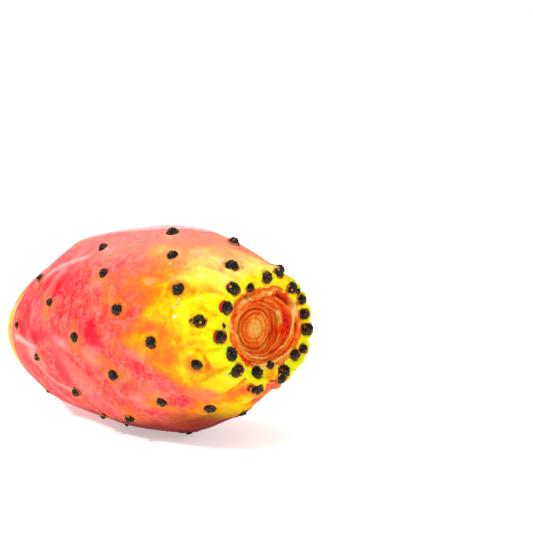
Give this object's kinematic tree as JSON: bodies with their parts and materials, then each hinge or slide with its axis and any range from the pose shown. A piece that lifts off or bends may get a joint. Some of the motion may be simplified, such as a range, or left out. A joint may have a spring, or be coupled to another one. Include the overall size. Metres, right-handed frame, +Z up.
{
  "type": "prickly pear fruit",
  "caption": "Whole prickly pear fruit lying on its side: egg-shaped body, raised areoles on a spiral, round flower scar at one end and a small stem scar at the other.",
  "frame": {"origin": "middle of the fruit's box, on the table it lies on", "axes": "+Z up from the table, +X along the fruit's length towards the flower scar, which is lifted a little, and -Y the side that the picture shows"},
  "size_m": [0.096, 0.0504, 0.0503],
  "materials": {
    "skin": "satin",
    "areole": "matte",
    "flower_scar": "matte",
    "stem_scar": "matte"
  },
  "bodies": {
    "root": {"prickly_pear_fruit": "skin"}
  },
  "joints": []
}
